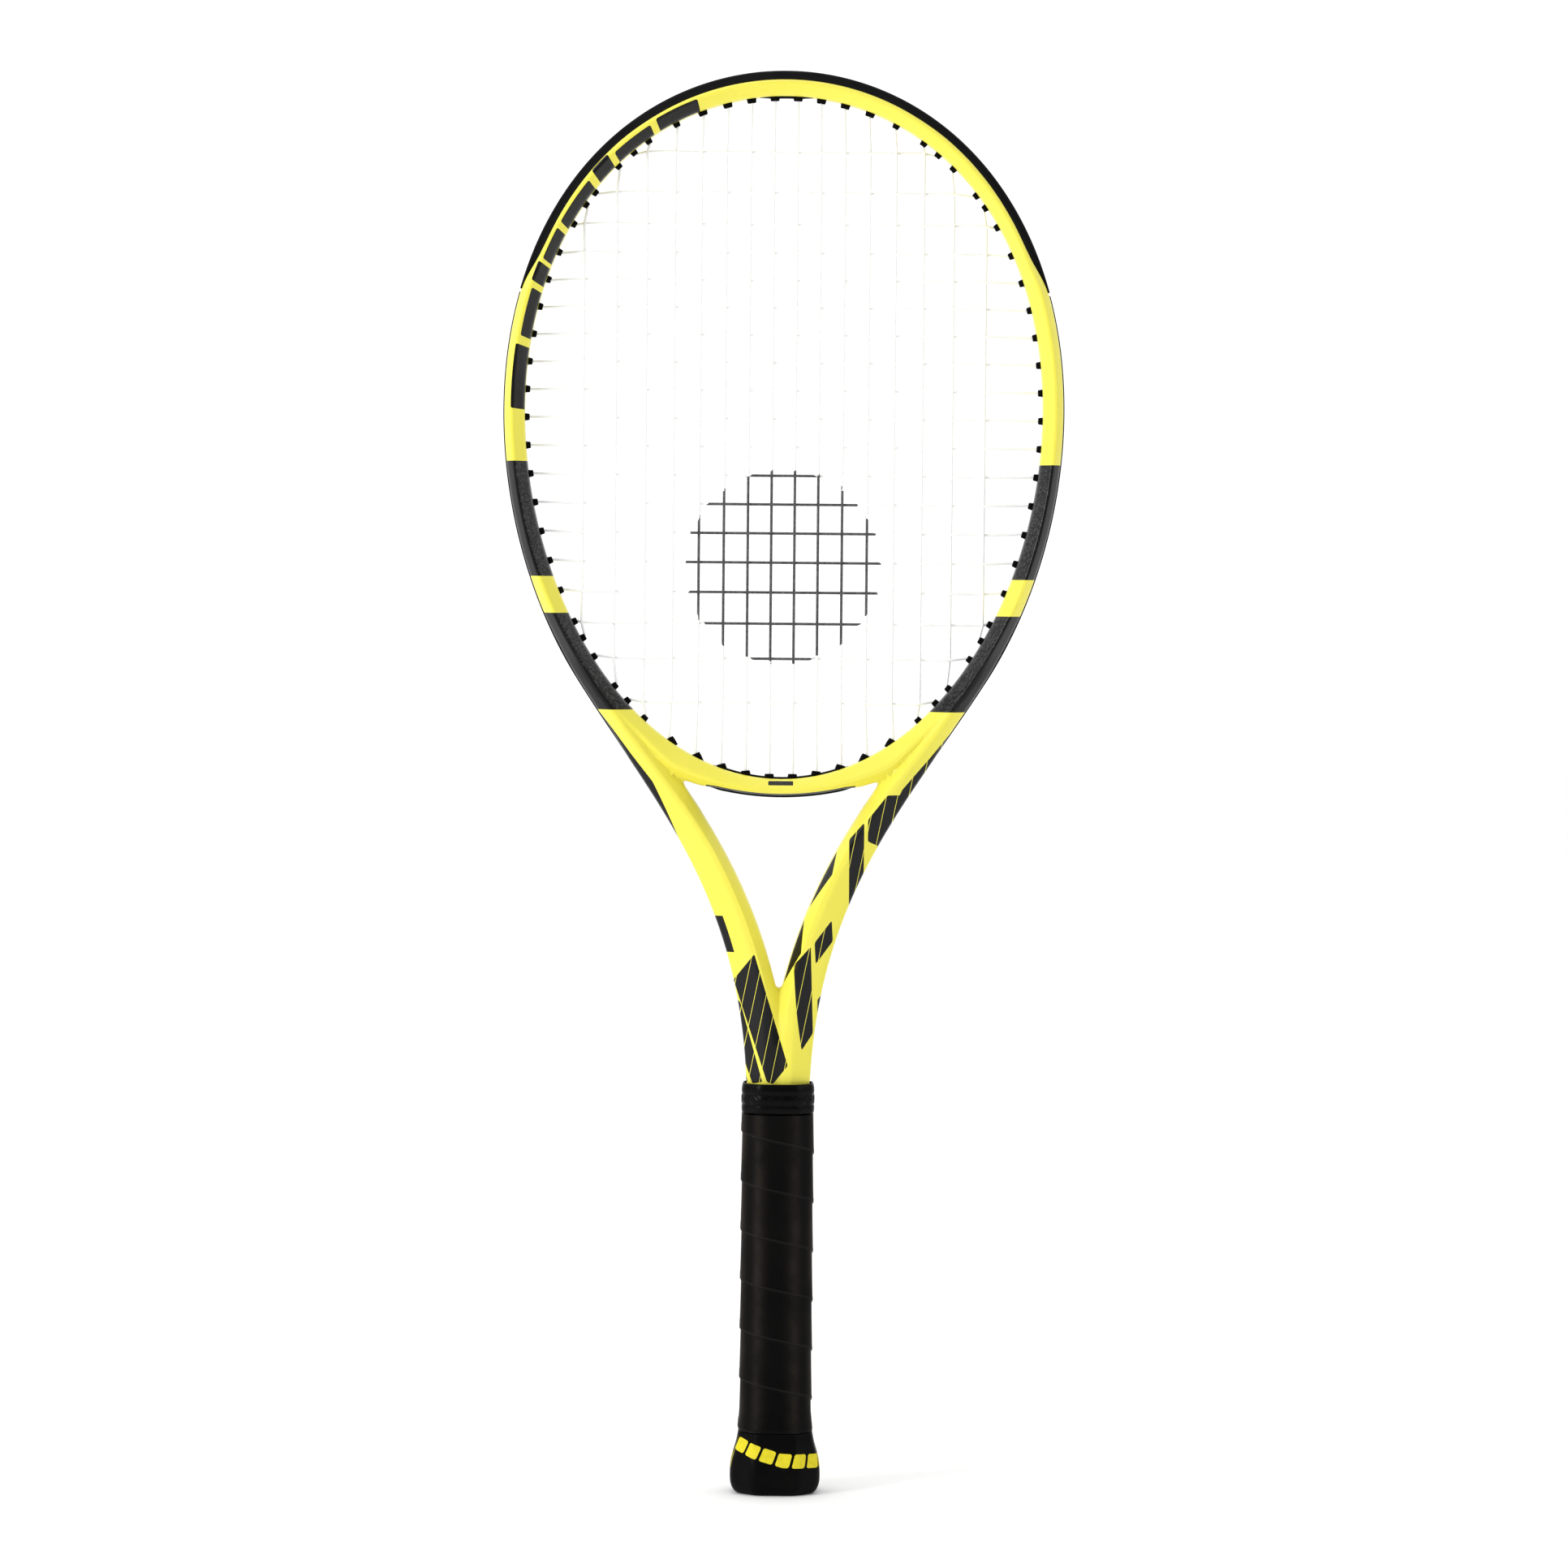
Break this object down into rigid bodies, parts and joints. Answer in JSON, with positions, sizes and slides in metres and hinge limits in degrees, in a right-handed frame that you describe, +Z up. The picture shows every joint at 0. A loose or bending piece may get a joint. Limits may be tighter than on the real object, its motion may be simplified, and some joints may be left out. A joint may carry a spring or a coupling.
{
  "type": "tennis racket",
  "caption": "Strung tennis racket with an oval hoop, split throat with a bridge, bumper guard, wrapped octagonal grip, flared butt and a sliding rubber collar.",
  "frame": {"origin": "centre of the butt's flat end, on the handle's axis", "axes": "+Z up the handle's axis to the top of the hoop, +X to the right across the strings, +Y away from the front face and square to the strings"},
  "size_m": [0.2702, 0.039, 0.6858],
  "materials": {
    "frame_paint": "glossy yellow and black paint over carbon laminate",
    "guard_nylon": "moulded black nylon",
    "string": "off-white synthetic string",
    "pallet_foam": "moulded rigid foam",
    "cap_plastic": "black moulded plastic",
    "staple_steel": "drawn steel wire",
    "grip_leather": "black perforated wrap with a soft sheen",
    "tape": "black vinyl tape",
    "collar_rubber": "soft black rubber"
  },
  "bodies": {
    "racket": {"frame_tube": "frame_paint", "throat_bridge": "frame_paint", "bumper_guard": "guard_nylon", "grommet_strip_left": "guard_nylon", "grommet_strip_right": "guard_nylon", "grommet_strip_throat": "guard_nylon", "main_string": "string", "cross_string": "string", "handle_pallet": "pallet_foam", "butt_cap": "cap_plastic", "butt_badge": "cap_plastic", "cap_staple_front": "staple_steel", "cap_staple_back": "staple_steel", "base_grip": "grip_leather", "finishing_tape": "tape"},
    "collar": {"rubber_collar": "collar_rubber"}
  },
  "joints": [
    {"name": "collar_slide", "type": "slide", "parent": "racket", "child": "collar", "axis": [0, 0, 1], "range_m": [0, 0.01]}
  ]
}
